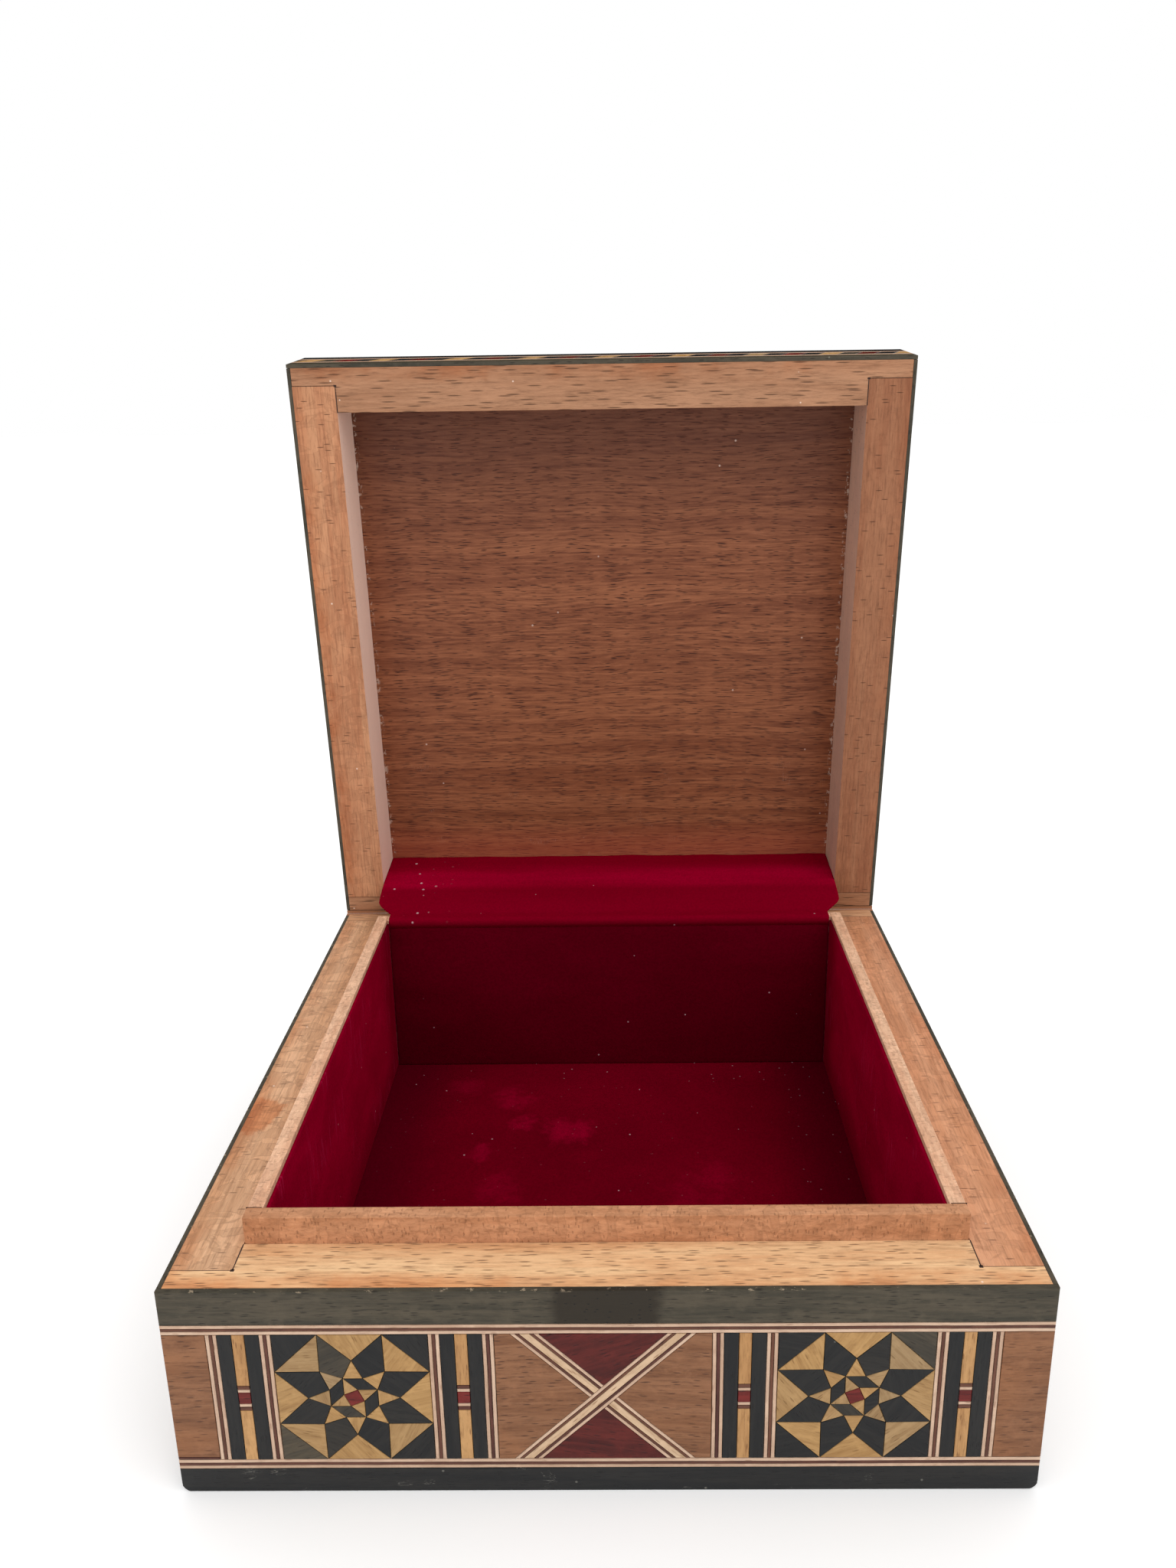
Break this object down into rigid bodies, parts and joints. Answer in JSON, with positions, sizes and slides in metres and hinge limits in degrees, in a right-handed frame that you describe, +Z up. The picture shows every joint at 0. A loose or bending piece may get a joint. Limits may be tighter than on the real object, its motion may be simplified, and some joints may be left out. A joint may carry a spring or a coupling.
{
  "type": "inlaid wooden box",
  "caption": "Square wooden box with a hinged lid standing open, inlaid marquetry outside, a raised inner lip and a velvet lining.",
  "frame": {"origin": "middle of the flat underside of the base", "axes": "+Z up, -Y towards the front, +X to the right as seen from the front; the lid stands open at the back"},
  "size_m": [0.155, 0.1749, 0.2003],
  "materials": {
    "beech": "waxed, pinkish tan with short dark flecks",
    "sapele": "reddish brown, straight grain",
    "plywood": "unfinished",
    "velvet": "crimson pile",
    "ebonised": "dyed near black, varnished",
    "grey_green": "dyed grey green, varnished",
    "holly": "cream, varnished",
    "walnut": "mid brown, varnished",
    "mosaic": "yellow and near black pieces, varnished",
    "brass": "satin",
    "steel": "plain"
  },
  "bodies": {
    "base": {"base_front_board": "beech", "base_back_board": "beech", "base_left_board": "beech", "base_right_board": "beech", "bottom_panel": "plywood", "front_liner": "beech", "back_liner": "beech", "left_liner": "beech", "right_liner": "beech", "floor_velvet": "velvet", "left_velvet": "velvet", "right_velvet": "velvet", "front_velvet": "velvet", "back_velvet": "velvet", "front_bottom_band": "ebonised", "front_bottom_stringing": "holly", "front_top_stringing": "holly", "front_top_band": "grey_green", "front_centre_panel": "walnut", "front_left_inner_post": "mosaic", "front_left_star": "mosaic", "front_left_outer_post": "mosaic", "front_left_end_panel": "walnut", "front_right_inner_post": "mosaic", "front_right_star": "mosaic", "front_right_outer_post": "mosaic", "front_right_end_panel": "walnut", "base_left_skin": "walnut", "base_right_skin": "walnut", "base_back_skin": "walnut", "left_hinge_base_leaf": "brass", "left_hinge_pin": "steel", "left_hinge_base_nail_1": "steel", "left_hinge_base_nail_2": "steel", "right_hinge_base_leaf": "brass", "right_hinge_pin": "steel", "right_hinge_base_nail_1": "steel", "right_hinge_base_nail_2": "steel", "hinge_web": "velvet"},
    "lid": {"lid_front_board": "beech", "lid_back_board": "beech", "lid_left_board": "beech", "lid_right_board": "beech", "lid_panel": "sapele", "lid_back_velvet": "velvet", "lid_front_skin": "walnut", "lid_back_skin": "walnut", "lid_left_skin": "walnut", "lid_right_skin": "walnut", "lid_top_skin": "mosaic", "left_hinge_lid_leaf": "brass", "left_hinge_lid_nail_1": "steel", "left_hinge_lid_nail_2": "steel", "right_hinge_lid_leaf": "brass", "right_hinge_lid_nail_1": "steel", "right_hinge_lid_nail_2": "steel"}
  },
  "joints": [
    {"name": "lid_hinge", "type": "hinge", "parent": "base", "child": "lid", "pos_m": [0, 0.0775, 0.0441], "axis": [-1, 0, 0], "range_deg": [-84, 0], "deforming": ["hinge_web"]}
  ]
}
